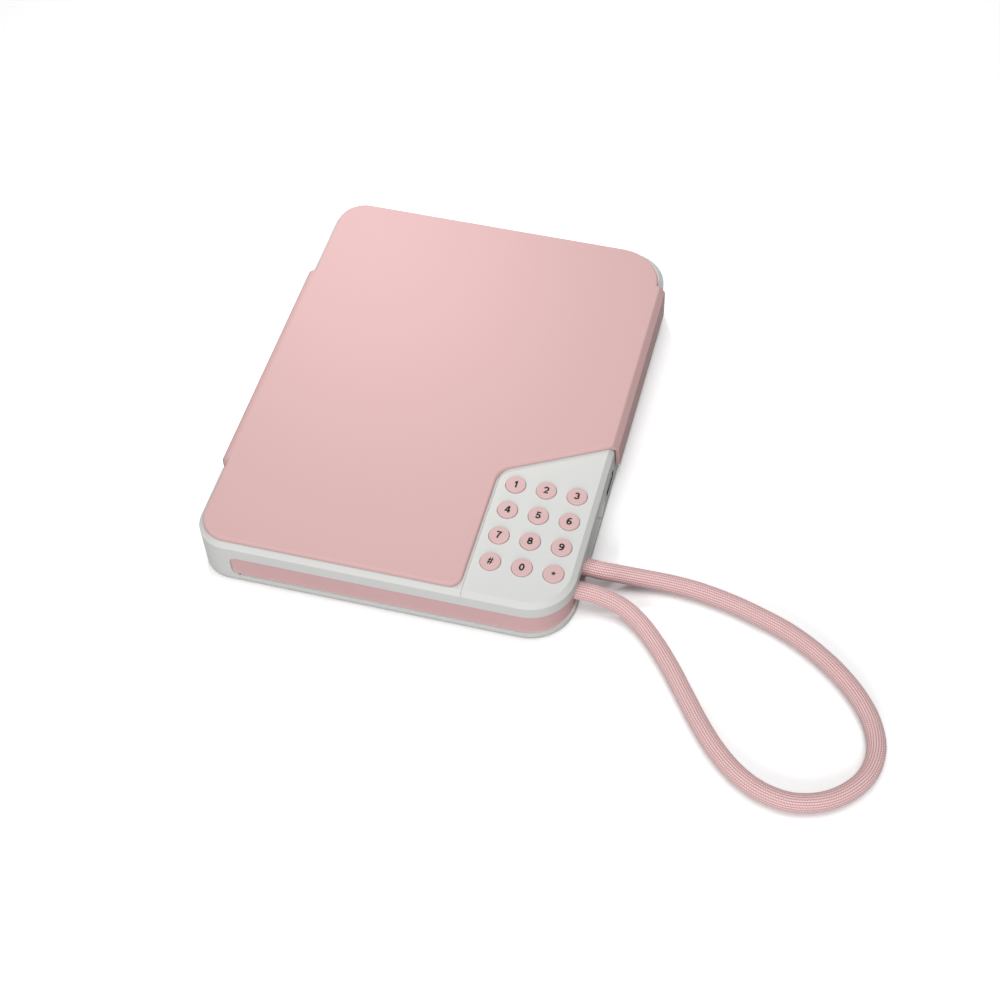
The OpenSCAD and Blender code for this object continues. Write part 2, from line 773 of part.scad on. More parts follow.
// Cross-section of the right-hand wrap, X across and Z up
module wrap_section() {
    chamfer_x = half_w + crease_z + hinge_gap;
    polygon([
        [lid_right - 3, lid_bottom], [lid_right - 3, lid_top],
        [wrap_round_x, lid_top], [wrap_flat_x - 0.25, lid_top - 0.08],
        [wrap_flat_x + 0.15, lid_top - 0.36],
        [wrap_x, lid_top - wrap_bevel_h], [wrap_x, wrap_bottom + 0.5],
        [wrap_x - 0.5, wrap_bottom], [wrap_x - wrap_t, wrap_bottom],
        [wrap_x - wrap_t, chamfer_x - wrap_x + wrap_t], [chamfer_x - lid_bottom, lid_bottom]]);
}

// Flat plate of the lid with its rounded edge, bevelled under its left edge so that it
// clears the case's wall when it stands open
module lid_plate() {
    difference() {
        union() {
            translate([0, 0, lid_bottom]) linear_extrude(lid_t) lid_field();
            edge_run([lid_left + lid_corner, lid_front], [notch_x - notch_front_r, lid_front]);
            edge_run([notch_x, lid_front + notch_front_r], [notch_x, notch_cy + 2 * eps]);
            difference() {
                edge_run([notch_edge_x, notch_edge_y], [notch_end_x, notch_end_y]);
                translate([wrap_round_x, -half_d, 0]) cube([20, body_d, 40]);
            }
            edge_run([lid_right, wrap_back - 2], [lid_right, -lid_front - lid_back_r]);
            edge_run([lid_right - lid_back_r, -lid_front], [lid_left + lid_corner, -lid_front]);
            edge_run([lid_left, -lid_front - lid_corner], [lid_left, lid_front + lid_corner]);
            edge_corner(lid_left + lid_corner, lid_front + lid_corner, lid_corner, 180, 90);
            edge_corner(lid_left + lid_corner, -lid_front - lid_corner, lid_corner, 90, 90);
            edge_corner(lid_right - lid_back_r, -lid_front - lid_back_r, lid_back_r, 0, 90);
            edge_corner(notch_x - notch_front_r, lid_front + notch_front_r, notch_front_r,
                270, 90);
            edge_inner_corner(notch_cx, notch_cy, notch_r, notch_turn, 90 - notch_slope);
        }
        translate([lid_left, half_d, lid_bottom]) rotate([90, 0, 0]) linear_extrude(body_d)
            polygon([[bevel_w, 0], [bevel_w, -1], [-1, -1],
                [-1, bevel_h * (1 + 1 / bevel_w)]]);
    }
}

// Wrap that reaches down over the case's right wall
module lid_wrap() {
    difference() {
        translate([0, wrap_back, 0]) rotate([90, 0, 0])
            linear_extrude(wrap_back - wrap_front + 20) wrap_section();
        translate([0, 0, -1]) linear_extrude(60) notch_area(0);
        translate([0, 0, lid_bottom]) linear_extrude(10) intersection() {
            notch_area(lid_edge_r + 1);
            translate([0, -half_d]) square([wrap_round_x, body_d]);
        }
        translate([half_w - wrap_recess, wrap_front + 0.6, lid_top - wrap_bevel_h])
            rotate([wrap_lean, 0, 0]) translate([0, -30, -40]) cube([20, 30, 40]);
    }
}

// Hinge barrel, tapered towards both ends
module barrel() {
    t = barrel_taper_l;
    translate([hinge_x, barrel_y1, hinge_z]) rotate([90, 0, 0]) rotate_extrude($fn = 96)
        polygon([[0, 0], [barrel_end_r, 0], [barrel_r, t], [barrel_r, barrel_l - t],
            [barrel_end_r, barrel_l], [0, barrel_l]]);
}

module lid_cover() {
    color(pink) difference() {
        union() {
            lid_plate();
            lid_wrap();
            barrel();
        }
        translate([hinge_x, barrel_y1 + 1, hinge_z]) rotate([90, 0, 0])
            cylinder(h = barrel_l + 2, r = pin_r + pin_fit);
    }
}

module lid_liner() {
    gap = 1.4;
    color(white) difference() {
        round_box(well_x0 + gap, gap - well_half, well_x1 - gap, well_half - gap,
            lid_bottom - 1.1, lid_bottom, well_r - gap);
        for (x = [well_x0 + 12, well_x1 - 12], y = [-60, 60])
            translate([x, y, 0]) cylinder(h = 60, r = 1.5);
    }
}

// Strike plate under the lid, with the window that the bolt enters
module lid_strike() {
    z0 = lid_bottom - strike_drop;
    color("silver") difference() {
        translate([strike_x, lock_y - strike_w / 2, z0])
            cube([strike_t, strike_w, strike_drop]);
        translate([strike_x - 1, lock_y, lock_z]) rotate([0, 90, 0])
            cylinder(h = strike_t + 2, r = window_r);
    }
}

module hinge_pin() {
    color("silver") translate([hinge_x, barrel_y1 + hinge_gap + pin_seat_l - 1, hinge_z])
        rotate([90, 0, 0]) cylinder(h = pin_l, r = pin_r);
}

module notebook_pages() {
    color("ivory") round_box(well_x0 + book_gap + 1, book_gap + 1 - well_half,
        well_x0 + book_gap + book_w - 1, well_half - book_gap - 1,
        well_floor + cover_t, book_top - cover_t, book_r - 1);
}

module notebook_cover() {
    x0 = well_x0 + book_gap;
    y1 = well_half - book_gap;
    color("#e9c9c8") {
        for (z = [well_floor, book_top - cover_t])
            round_box(x0, -y1, x0 + book_w, y1, z, z + cover_t, book_r);
        translate([x0, book_r - y1, well_floor]) cube([1, 2 * (y1 - book_r), book_t]);
    }
}

module rope_anchor() {
    color("gray") difference() {
        translate([anchor_x0, rope_front_y - 5.5, inside_z])
            cube([anchor_x1 - anchor_x0, rope_back_y - rope_front_y + 11,
                anchor_top - inside_z]);
        translate([anchor_x0 + 4, rope_front_y + 2, inside_z - 1])
            cube([3, rope_back_y - rope_front_y - 4, 3]);
    }
}

// Points of a closed ring round a route point, square to the route there
function ring(p, t, r, sides) =
    let (side = cross(t, [0, 0, 1]), s = side / norm(side), up = cross(s, t))
    [for (i = [0 : sides - 1]) let (a = 360 * (i + 0.5) / sides)
        p + r * (cos(a) * s + sin(a) * up)];

// Direction of the route at one of its points
function direction(route, i) =
    let (n = len(route), d = i == 0 ? route[1] - route[0]
        : i == n - 1 ? route[n - 1] - route[n - 2]
        : route[i + 1] - route[i - 1])
    d / norm(d);

// Tube swept along a route
module tube(route, r, sides) {
    n = len(route);
    points = [for (i = [0 : n - 1]) each ring(route[i], direction(route, i), r, sides)];
    walls = [for (i = [0 : n - 2], j = [0 : sides - 1])
        let (k = (j + 1) % sides)
        each [[i * sides + j, (i + 1) * sides + j, (i + 1) * sides + k],
            [i * sides + j, (i + 1) * sides + k, i * sides + k]]];
    ends = [[for (j = [0 : sides - 1]) j],
        [for (j = [sides - 1 : -1 : 0]) (n - 1) * sides + j]];
    polyhedron(points, concat(walls, ends));
}

module wrist_rope() {
    color(pink) tube(rope_route, rope_d / 2, 10);
}

module rubber_feet() {
    color("gainsboro") for (p = foot_spots) translate([p.x, p.y, 0])
        cylinder(h = foot_h + 0.6, r = foot_r);
}

module case_screws() {
    color("silver") for (p = screw_spots) translate([p.x, p.y, floor_z]) {
        translate([0, 0, 0.2]) cylinder(h = 0.9, r = screw_head_r);
        cylinder(h = screw_l, r = screw_r - 0.1);
    }
}

lower_shell();
upper_frame();
keypad_deck();
accent_band();
key_1();
key_2();
key_3();
key_4();
key_5();
key_6();
key_7();
key_8();
key_9();
key_hash();
key_0();
key_star();
keypad_membrane();
keypad_board();
main_board();
charge_port();
port_seal();
battery();
speaker();
lock_solenoid();
latch_bolt();
latch_spring();
lid_cover();
lid_liner();
lid_strike();
hinge_pin();
notebook_cover();
notebook_pages();
rope_anchor();
wrist_rope();
rubber_feet();
case_screws();
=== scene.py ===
"""Electronic secret diary: finishes, printed key signs, braided wrist rope and photo studio.

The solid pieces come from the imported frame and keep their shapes. This script gives every
piece its finish, makes the parts that are too soft or too fine for the frame, and sets the
camera and the light of the photograph. Lengths are in metres unless a name ends in mm.
"""

from __future__ import annotations

import logging
import math
from dataclasses import dataclass, field
from enum import Enum

import bmesh
import bpy
from mathutils import Matrix, Vector

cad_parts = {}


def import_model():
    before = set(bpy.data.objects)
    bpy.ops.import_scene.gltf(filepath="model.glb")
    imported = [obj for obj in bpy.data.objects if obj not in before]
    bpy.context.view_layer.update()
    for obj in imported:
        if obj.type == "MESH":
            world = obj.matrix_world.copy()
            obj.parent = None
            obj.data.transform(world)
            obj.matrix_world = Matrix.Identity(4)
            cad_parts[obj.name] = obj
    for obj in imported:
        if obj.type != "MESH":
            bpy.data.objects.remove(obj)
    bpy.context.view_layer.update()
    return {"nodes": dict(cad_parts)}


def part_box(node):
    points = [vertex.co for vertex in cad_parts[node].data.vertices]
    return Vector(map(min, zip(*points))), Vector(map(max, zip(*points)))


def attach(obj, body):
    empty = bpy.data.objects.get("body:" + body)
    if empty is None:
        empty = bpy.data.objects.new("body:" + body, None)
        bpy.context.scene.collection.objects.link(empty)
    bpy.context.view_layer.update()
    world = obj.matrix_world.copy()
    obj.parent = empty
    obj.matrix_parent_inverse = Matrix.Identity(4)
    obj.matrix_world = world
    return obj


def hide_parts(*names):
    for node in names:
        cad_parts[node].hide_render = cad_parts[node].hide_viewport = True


LOG = logging.getLogger("diary")
MM = 0.001
# Body of the frame that the rope, the spring and the port ride on.
CASE_BODY = "case"
# Name of the rope's UV map.
BRAID_MAP = "braid"


class Slot(Enum):
    """Material slots of the record."""

    ROPE = "rope"
    KEY = "key_pink"
    STEEL = "steel"
    DARK = "dark_plastic"
    PORT = "port_metal"


class Grain(Enum):
    """Surface textures of moulded plastic, by the size of their grain in millimetres."""

    FINE_MATTE = 0.35
    SATIN = 0.6
    RUBBER = 0.5


def linear(hex_colour: str, alpha: float = 1.0) -> tuple[float, float, float, float]:
    """Turns an sRGB hex colour into linear red, green, blue and alpha.

    Args:
        hex_colour: Colour written as "#rrggbb".
        alpha: Opacity, which is passed on unchanged.

    Returns:
        The four linear values that a colour socket takes.
    """
    values = [int(hex_colour[i : i + 2], 16) / 255 for i in (1, 3, 5)]
    red, green, blue = (
        v / 12.92 if v <= 0.04045 else ((v + 0.055) / 1.055) ** 2.4 for v in values
    )
    return red, green, blue, alpha


def add_node(
    tree: bpy.types.NodeTree, kind: str, inputs: dict | None = None, **settings: object
) -> bpy.types.Node:
    """Adds a node to a tree, with its settings and its links.

    Args:
        tree: Node tree that gets the node.
        kind: Blender's name of the node's type.
        inputs: Input name or number to a value, or to the socket that feeds it.
        **settings: Properties of the node, such as operation="MULTIPLY".

    Returns:
        The new node.
    """
    node = tree.nodes.new(kind)
    for name, value in settings.items():
        setattr(node, name, value)
    for name, value in (inputs or {}).items():
        if isinstance(value, bpy.types.NodeSocket):
            tree.links.new(value, node.inputs[name])
        else:
            node.inputs[name].default_value = value
    return node


def object_place(tree: bpy.types.NodeTree) -> bpy.types.NodeSocket:
    """Gives the place of a surface point in its object, in metres.

    Args:
        tree: Node tree of the material.

    Returns:
        The socket that carries the place.
    """
    return add_node(tree, "ShaderNodeTexCoord").outputs["Object"]


@dataclass(frozen=True)
class Finish:
    """A surface finish. Subclasses add the pattern of their own material."""

    name: str
    colour: str
    roughness: float = 0.5
    metallic: float = 0.0
    edge_mm: float = 0.0
    gloss: float = 0.5

    def material(self) -> bpy.types.Material:
        """Builds the finish as a new material.

        Returns:
            The material, with its pattern.
        """
        made = bpy.data.materials.new(self.name)
        made.use_nodes = True
        tree = made.node_tree
        tree.nodes.clear()
        shader = add_node(
            tree,
            "ShaderNodeBsdfPrincipled",
            {
                "Base Color": linear(self.colour),
                "Roughness": self.roughness,
                "Metallic": self.metallic,
                "Specular IOR Level": self.gloss,
            },
        )
        self.pattern(tree, shader)
        add_node(tree, "ShaderNodeOutputMaterial", {"Surface": shader.outputs["BSDF"]})
        return made

    def pattern(self, tree: bpy.types.NodeTree, shader: bpy.types.Node) -> None:
        """Adds the pattern of this material; the plain finish has none.

        Args:
            tree: Node tree of the material.
            shader: Its principled shader.
        """

    def soft_edge(self, tree: bpy.types.NodeTree) -> dict:
        """Rounds the light on sharp edges, as the small radius of a mould does.

        Args:
            tree: Node tree of the material.

        Returns:
            The Normal input for a bump node, or nothing where edge_mm is 0.
        """
        if not self.edge_mm:
            return {}
        bevel = add_node(tree, "ShaderNodeBevel", {"Radius": self.edge_mm * MM}, samples=6)
        return {"Normal": bevel.outputs["Normal"]}

    def colour_by(
        self,
        tree: bpy.types.NodeTree,
        shader: bpy.types.Node,
        share: bpy.types.NodeSocket,
        low: tuple[float, ...],
        high: tuple[float, ...],
    ) -> None:
        """Lets a pattern mix the base colour from two linear colours.

        Args:
            tree: Node tree of the material.
            shader: Its principled shader.
            share: Pattern, 0 for the low colour and 1 for the high one.
            low: Colour where the pattern is 0.
            high: Colour where it is 1.
        """
        mixed = add_node(tree, "ShaderNodeMixRGB", {"Fac": share, "Color1": low, "Color2": high})
        tree.links.new(mixed.outputs["Color"], shader.inputs["Base Color"])

    def roughen_by(
        self,
        tree: bpy.types.NodeTree,
        shader: bpy.types.Node,
        pattern: bpy.types.NodeSocket,
        smoother: float,
        rougher: float,
    ) -> None:
        """Lets a pattern move the roughness up and down.

        Args:
            tree: Node tree of the material.
            shader: Its principled shader.
            pattern: Values from 0 to 1.
            smoother: How far the roughness falls where the pattern is 0.
            rougher: How far it rises where the pattern is 1.
        """
        rough = add_node(
            tree,
            "ShaderNodeMapRange",
            {
                "Value": pattern,
                "To Min": self.roughness - smoother,
                "To Max": self.roughness + rougher,
            },
        )
        tree.links.new(rough.outputs["Result"], shader.inputs["Roughness"])

    def emboss_by(
        self,
        tree: bpy.types.NodeTree,
        shader: bpy.types.Node,
        height: bpy.types.NodeSocket,
        depth_mm: float,
        strength: float,
    ) -> None:
        """Lets a pattern raise the surface, over the softened edges.

        Args:
            tree: Node tree of the material.
            shader: Its principled shader.
            height: Heights from 0 to 1.
            depth_mm: Full height of the pattern in millimetres.
            strength: Share of it that the light shows.
        """
        bump = add_node(
            tree,
            "ShaderNodeBump",
            {
                "Height": height,
                "Distance": depth_mm * MM,
                "Strength": strength,
                **self.soft_edge(tree),
            },
        )
        tree.links.new(bump.outputs["Normal"], shader.inputs["Normal"])


@dataclass(frozen=True)
class MouldedPlastic(Finish):
    """Injection-moulded ABS from a spark-eroded mould: fine grain and a soft, even sheen."""

    grain: Grain = Grain.FINE_MATTE
    grain_depth_mm: float = 0.012
    grain_shown: float = 0.6
    rough_spread: float = 0.06
    tint: str = "#ffffff"
    tint_share: float = 0.02
    cloud_mm: float = 45.0

    def pattern(self, tree: bpy.types.NodeTree, shader: bpy.types.Node) -> None:
        """Adds the grain, a faint cloudiness of the resin and the mould's soft edges."""
        place = object_place(tree)
        cloud = add_node(
            tree,
            "ShaderNodeTexNoise",
            {"Vector": place, "Scale": 1 / (self.cloud_mm * MM), "Detail": 2.0},
        )
        share = add_node(
            tree,
            "ShaderNodeMapRange",
            {"Value": cloud.outputs["Fac"], "To Max": self.tint_share * 2},
        )
        self.colour_by(
            tree, shader, share.outputs["Result"], linear(self.colour), linear(self.tint)
        )
        grain = add_node(
            tree,
            "ShaderNodeTexNoise",
            {"Vector": place, "Scale": 1 / (self.grain.value * MM), "Detail": 3.0},
        )
        pits = grain.outputs["Fac"]
        self.roughen_by(tree, shader, pits, self.rough_spread, self.rough_spread)
        self.emboss_by(tree, shader, pits, self.grain_depth_mm, self.grain_shown)


@dataclass(frozen=True)
class BrightSteel(Finish):
    """Plated or drawn steel: grey mirror with fine lines along one axis."""

    lines_mm: float = 0.15
    along: int = 1
    stretch: float = 30.0
    smoother: float = 0.08
    rougher: float = 0.12
    lines_depth_mm: float = 0.01
    lines_shown: float = 0.4

    def pattern(self, tree: bpy.types.NodeTree, shader: bpy.types.Node) -> None:
        """Adds the drawing lines as bump and as changes of roughness."""
        per_metre = [1 / (self.lines_mm * MM)] * 3
        per_metre[self.along] = 1 / (self.stretch * self.lines_mm * MM)
        turned = add_node(
            tree, "ShaderNodeMapping", {"Vector": object_place(tree), "Scale": per_metre}
        )
        lines = add_node(
            tree, "ShaderNodeTexNoise", {"Vector": turned.outputs["Vector"], "Scale": 1.0}
        )
        drawn = lines.outputs["Fac"]
        self.roughen_by(tree, shader, drawn, self.smoother, self.rougher)
        self.emboss_by(tree, shader, drawn, self.lines_depth_mm, self.lines_shown)


@dataclass(frozen=True)
class BraidedSheath(Finish):
    """Polyester braid: lengthwise columns of stitches over a soft core.

    The pattern reads the rope's own UV map, whose units are millimetres along the rope and
    round it, so a stitch keeps its size in every bend.
    """

    # Darker colour of the grooves and of the notches between stitches: painted shade.
    groove: str = "#9c6970"
    column_mm: float = 1.0
    stitch_mm: float = 0.9
    stitch_low: float = 0.3
    fibres_per_mm: float = 2.6
    fibre_share: float = 0.3
    groove_shade_level: float = 0.08
    depth_mm: float = 0.22
    depth_shown: float = 0.8
    fuzz: float = 0.35
    fuzz_roughness: float = 0.5

    def pattern(self, tree: bpy.types.NodeTree, shader: bpy.types.Node) -> None:
        """Adds the stitches: a groove between columns and a notch between stitches, each darkened
        in colour by its depth as painted shade.
        """
        flat = add_node(tree, "ShaderNodeUVMap", uv_map=BRAID_MAP)
        parts = add_node(tree, "ShaderNodeSeparateXYZ", {"Vector": flat.outputs["UV"]})

        def math_node(operation: str, *values: object) -> bpy.types.NodeSocket:
            """Returns the result of a sum or function of sockets and numbers."""
            made = add_node(
                tree, "ShaderNodeMath", dict(enumerate(values)), operation=operation
            )
            return made.outputs["Value"]

        def wave(phase: bpy.types.NodeSocket) -> bpy.types.NodeSocket:
            """Returns a row of equal humps, one for each whole step of the phase."""
            return math_node("ABSOLUTE", math_node("SINE", math_node("MULTIPLY", phase, math.pi)))

        column = math_node("DIVIDE", parts.outputs["Y"], self.column_mm)
        half_stitch = math_node("MULTIPLY", math_node("FLOOR", column), 0.5)
        stitch = math_node(
            "ADD", math_node("DIVIDE", parts.outputs["X"], self.stitch_mm), half_stitch
        )
        crown = math_node("POWER", wave(column), 0.6)
        hump = math_node("POWER", wave(stitch), 0.5)
        notch = math_node("MULTIPLY_ADD", hump, 1 - self.stitch_low, self.stitch_low)
        height = math_node("MULTIPLY", crown, notch)
        fibre = add_node(
            tree,
            "ShaderNodeTexNoise",
            {"Vector": flat.outputs["UV"], "Scale": self.fibres_per_mm, "Detail": 3.0},
        )
        # Painted shade and painted highlight: the colour follows the height, darkest in grooves
        # and notches and lightest on the crowns, with fibre noise on top.
        light = math_node(
            "MULTIPLY_ADD",
            fibre.outputs["Fac"],
            self.fibre_share,
            math_node("SUBTRACT", height, self.groove_shade_level),
        )
        share = math_node("MINIMUM", math_node("MAXIMUM", light, 0.0), 1.0)
        self.colour_by(tree, shader, share, linear(self.groove), linear(self.colour))
        self.emboss_by(tree, shader, height, self.depth_mm, self.depth_shown)
        shader.inputs["Sheen Weight"].default_value = self.fuzz
        shader.inputs["Sheen Roughness"].default_value = self.fuzz_roughness


@dataclass(frozen=True)
class PaperBlock(Finish):
    """Uncoated paper: the cut edges of the leaves show as fine lines, one above another."""

    leaf_mm: float = 0.22
    waves_per_metre: float = 14.0
    shade: str = "#d9d2c2"
    depth_mm: float = 0.08
    depth_shown: float = 0.7

    def pattern(self, tree: bpy.types.NodeTree, shader: bpy.types.Node) -> None:
        """Adds the lines of the leaves, drawn two leaves thick so that they show."""
        per_metre = [self.waves_per_metre, self.waves_per_metre, 1 / (self.leaf_mm * MM)]
        flat = add_node(
            tree, "ShaderNodeMapping", {"Vector": object_place(tree), "Scale": per_metre}
        )
        leaves = add_node(
            tree,
            "ShaderNodeTexNoise",
            {"Vector": flat.outputs["Vector"], "Scale": 1.0, "Detail": 2.0},
        )
        edges = leaves.outputs["Fac"]
        self.colour_by(tree, shader, edges, linear(self.shade), linear(self.colour))
        self.emboss_by(tree, shader, edges, self.depth_mm, self.depth_shown)


@dataclass(frozen=True)
class GrainedCard(Finish):
    """Coated card embossed with a fine leather grain."""

    cell_mm: float = 1.1
    valley_width: float = 0.18
    valley_shade: float = 0.82
    depth_mm: float = 0.05
    depth_shown: float = 0.6

    def pattern(self, tree: bpy.types.NodeTree, shader: bpy.types.Node) -> None:
        """Adds the pebbles of the grain and their darker valleys."""
        cells = add_node(
            tree,
            "ShaderNodeTexVoronoi",
            {"Vector": object_place(tree), "Scale": 1 / (self.cell_mm * MM)},
            feature="DISTANCE_TO_EDGE",
        )
        valley = add_node(
            tree,
            "ShaderNodeMapRange",
            {"Value": cells.outputs["Distance"], "From Max": self.valley_width},
        )
        pebbles = valley.outputs["Result"]
        colour = linear(self.colour)
        darker = (*(self.valley_shade * v for v in colour[:3]), 1.0)
        self.colour_by(tree, shader, pebbles, darker, colour)
        self.emboss_by(tree, shader, pebbles, self.depth_mm, self.depth_shown)


@dataclass(frozen=True)
class SolderMask(Finish):
    """Green lacquer of a circuit board, with copper tracks that show through as lighter lines."""

    track_mm: float = 1.6
    blockiness: float = 0.4
    edge_from: float = 0.3
    edge_to: float = 0.36
    copper: str = "#3f8a5c"
    depth_mm: float = 0.03
    depth_shown: float = 0.5

    def pattern(self, tree: bpy.types.NodeTree, shader: bpy.types.Node) -> None:
        """Adds the tracks as blocky runs under the lacquer."""
        blocks = add_node(
            tree,
            "ShaderNodeTexVoronoi",
            {
                "Vector": object_place(tree),
                "Scale": 1 / (self.track_mm * MM),
                "Randomness": self.blockiness,
            },
            distance="CHEBYCHEV",
        )
        edge = add_node(
            tree,
            "ShaderNodeMapRange",
            {
                "Value": blocks.outputs["Distance"],
                "From Min": self.edge_from,
                "From Max": self.edge_to,
            },
        )
        tracks = edge.outputs["Result"]
        self.colour_by(tree, shader, tracks, linear(self.colour), linear(self.copper))
        self.emboss_by(tree, shader, tracks, self.depth_mm, self.depth_shown)


# Moulded ABS of the case, a cool white that is slightly grey, with the sharp edges eased.
CASE_WHITE = MouldedPlastic("white ABS", "#d5d6d3", 0.5, edge_mm=0.35, gloss=0.12)
# The keypad's panel is moulded apart, with crisp edges round the keys.
DECK_WHITE = MouldedPlastic("crisp white ABS", "#d4d5d2", 0.5, edge_mm=0.08, gloss=0.12)
# The same resin in the lid's pink, from a finer mould: soft lamps leave a broad sheen on it.
LID_PINK = MouldedPlastic(
    "pink ABS", "#d5b0af", 0.5, edge_mm=0.3, gloss=0.06, tint="#dcbbba"
)
# The band in the channel is moulded in the lid's pink, with the case's duller grain.
BAND_PINK = MouldedPlastic("dull pink ABS", "#d6adae", 0.5, gloss=0.15)
# Keys have a livelier pink than the lid and a smoother face.
KEY_PINK = MouldedPlastic(
    "key pink ABS", "#d3aeae", 0.42, edge_mm=0.12, gloss=0.2, grain=Grain.SATIN,
    grain_depth_mm=0.008,
)
# The lid's inner panel is plain white and duller than the case.
LINER_WHITE = MouldedPlastic("inner white ABS", "#e6e3de", 0.6, edge_mm=0.3)
# Black glass-filled nylon of the rope's anchor and the speaker.
DARK_NYLON = MouldedPlastic("black nylon", "#26272a", 0.55, edge_mm=0.2)
# The port's bezel is a dull black rubber, which hardly mirrors the white table.
BEZEL_RUBBER = MouldedPlastic("dull black rubber", "#17181a", 0.8, grain=Grain.RUBBER, gloss=0.03)
# Pad-printed ink of the key signs, near black with a trace of green.
PRINT_INK = MouldedPlastic("printed ink", "#222722", 0.5, tint="#2f342f", gloss=0.15)
# Silicone of the contact mat, soft and slightly milky.
SILICONE = MouldedPlastic("milky silicone", "#d9d9d4", 0.62, grain=Grain.RUBBER)
# Thermoplastic rubber of the feet, dull grey-white.
FOOT_RUBBER = MouldedPlastic(
    "soft grey rubber", "#c9c9c5", 0.78, grain=Grain.RUBBER, edge_mm=0.3
)
# Nickel-plated shell of the charging port.
NICKEL = BrightSteel("nickel plate", "#c9c8c4", 0.24, 1.0, 0.1, along=0)
# Bright drawn steel of pin, bolt, strike and screws.
DRAWN_STEEL = BrightSteel("drawn steel", "#b9bbbd", 0.32, 1.0, 0.15)
# Lacquered steel jacket of the solenoid.
LACQUER = BrightSteel("lacquered steel", "#4b5057", 0.42, 0.6, 0.2)
# Aluminium laminate of the battery pouch.
POUCH = BrightSteel("pouch foil", "#b8bcc0", 0.38, 0.9, lines_mm=1.5)
# Printed circuit boards with their green lacquer.
BOARD = SolderMask("green solder mask", "#1c5a3a", 0.35)
# Cover of the notebook.
CARD = GrainedCard("grained pink card", "#e5c3c1", 0.55)
# Paper block of the notebook.
PAPER = PaperBlock("uncoated paper", "#f6f1e6", 0.85)
# Braided sheath of the wrist rope: its own pink, mixed by the braid's height into painted shade
# in the grooves and a painted highlight on the crowns.
BRAID = BraidedSheath("pink polyester braid", "#f7d1d0", 0.75, gloss=0.2)


def dress(nodes: dict[str, bpy.types.Object], names: list[str], finish: Finish) -> None:
    """Gives one finish to several pieces of the frame.

    Args:
        nodes: The frame's pieces by name.
        names: Names of the pieces to dress.
        finish: Finish that they share.
    """
    material = finish.material()
    for name in names:
        mesh = nodes[name].data
        if not mesh.materials:
            mesh.materials.append(material)
        for index in range(len(mesh.materials)):
            mesh.materials[index] = material
        LOG.info("%s: %s", name, finish.name)


def new_piece(
    name: str, bm: bmesh.types.BMesh, finish: Finish, smooth: bool = True
) -> bpy.types.Object:
    """Turns a finished bmesh into an object of the scene with its finish.

    Args:
        name: Name of the piece.
        bm: Mesh in the frame's coordinates, which is freed here.
        finish: Finish of the whole piece.
        smooth: Whether faces are shaded smooth.

    Returns:
        The new object, at the origin.
    """
    mesh = bpy.data.meshes.new(name)
    for face in bm.faces:
        face.smooth = smooth
    bm.to_mesh(mesh)
    bm.free()
    mesh.materials.append(finish.material())
    made = bpy.data.objects.new(name, mesh)
    bpy.context.scene.collection.objects.link(made)
    return made


def smooth_route(points: list[Vector], step: float) -> list[Vector]:
    """Draws a smooth curve through given points and divides it evenly.

    Args:
        points: Points that the curve passes through.
        step: Distance between the points returned, about.

    Returns:
        Points along the curve, the first and the last being the given ends.
    """
    fine = []
    padded = [2 * points[0] - points[1], *points, 2 * points[-1] - points[-2]]
    samples = 24
    for a, b, c, d in zip(padded, padded[1:], padded[2:], padded[3:]):
        for i in range(samples):
            t = i / samples
            fine.append(
                0.5
                * (
                    2 * b
                    + (c - a) * t
                    + (2 * a - 5 * b + 4 * c - d) * t**2
                    + (3 * b - 3 * c + d - a) * t**3
                )
            )
    fine.append(points[-1])
    reach = [0.0]
    for a, b in zip(fine, fine[1:]):
        reach.append(reach[-1] + (b - a).length)
    count = round(reach[-1] / step)
    even = []
    at = 0
    for i in range(count + 1):
        want = reach[-1] * i / count
        while at < len(fine) - 2 and reach[at + 1] < want:
            at += 1
        share = (want - reach[at]) / (reach[at + 1] - reach[at])
        even.append(fine[at].lerp(fine[at + 1], share))
    return even


def rolled_tube(
    route: list[Vector], radius: float, sides: int, ribs: int = 0, rib_depth: float = 0.0
) -> bmesh.types.BMesh:
    """Rolls a flat grid round a route into a closed tube, with a map in millimetres.

    Args:
        route: Points along the middle of the tube.
        radius: Outer radius.
        sides: Number of faces round the tube.
        ribs: Number of lengthwise ribs, 0 for a plain tube.
        rib_depth: Depth of the grooves between ribs.

    Returns:
        A bmesh whose UV map gives millimetres along and round the tube.
    """
    count = len(route) - 1
    length = sum((b - a).length for a, b in zip(route, route[1:]))
    bm = bmesh.new()
    flat = bm.loops.layers.uv.new(BRAID_MAP)
    bmesh.ops.create_grid(bm, x_segments=count, y_segments=sides, size=1.0, calc_uvs=True)
    girth = 2 * math.pi * radius
    for face in bm.faces:
        for loop in face.loops:
            u, v = (loop.vert.co.x + 1) / 2, (loop.vert.co.y + 1) / 2
            loop[flat].uv = (u * length / MM, v * girth / MM)
    up = Vector((0, 0, 1))
    frames = []
    for i in range(count + 1):
        tangent = (route[min(i + 1, count)] - route[max(i - 1, 0)]).normalized()
        side = tangent.cross(up).normalized()
        frames.append((side, side.cross(tangent)))
    weld = 0.001 * MM
    for vert in bm.verts:
        i = round((vert.co.x + 1) / 2 * count)
        angle = math.pi * (vert.co.y + 1)
        side, top = frames[i]
        groove = rib_depth * (1 - abs(math.sin(ribs * angle / 2))) if ribs else 0.0
        vert.co = route[i] + (radius - groove) * (
            math.cos(angle) * side + math.sin(angle) * top
        )
    bmesh.ops.remove_doubles(bm, verts=bm.verts[:], dist=weld)
    rims = [edge for edge in bm.edges if edge.is_boundary]
    bmesh.ops.holes_fill(bm, edges=rims, sides=0)
    bmesh.ops.recalc_face_normals(bm, faces=bm.faces[:])
    return bm


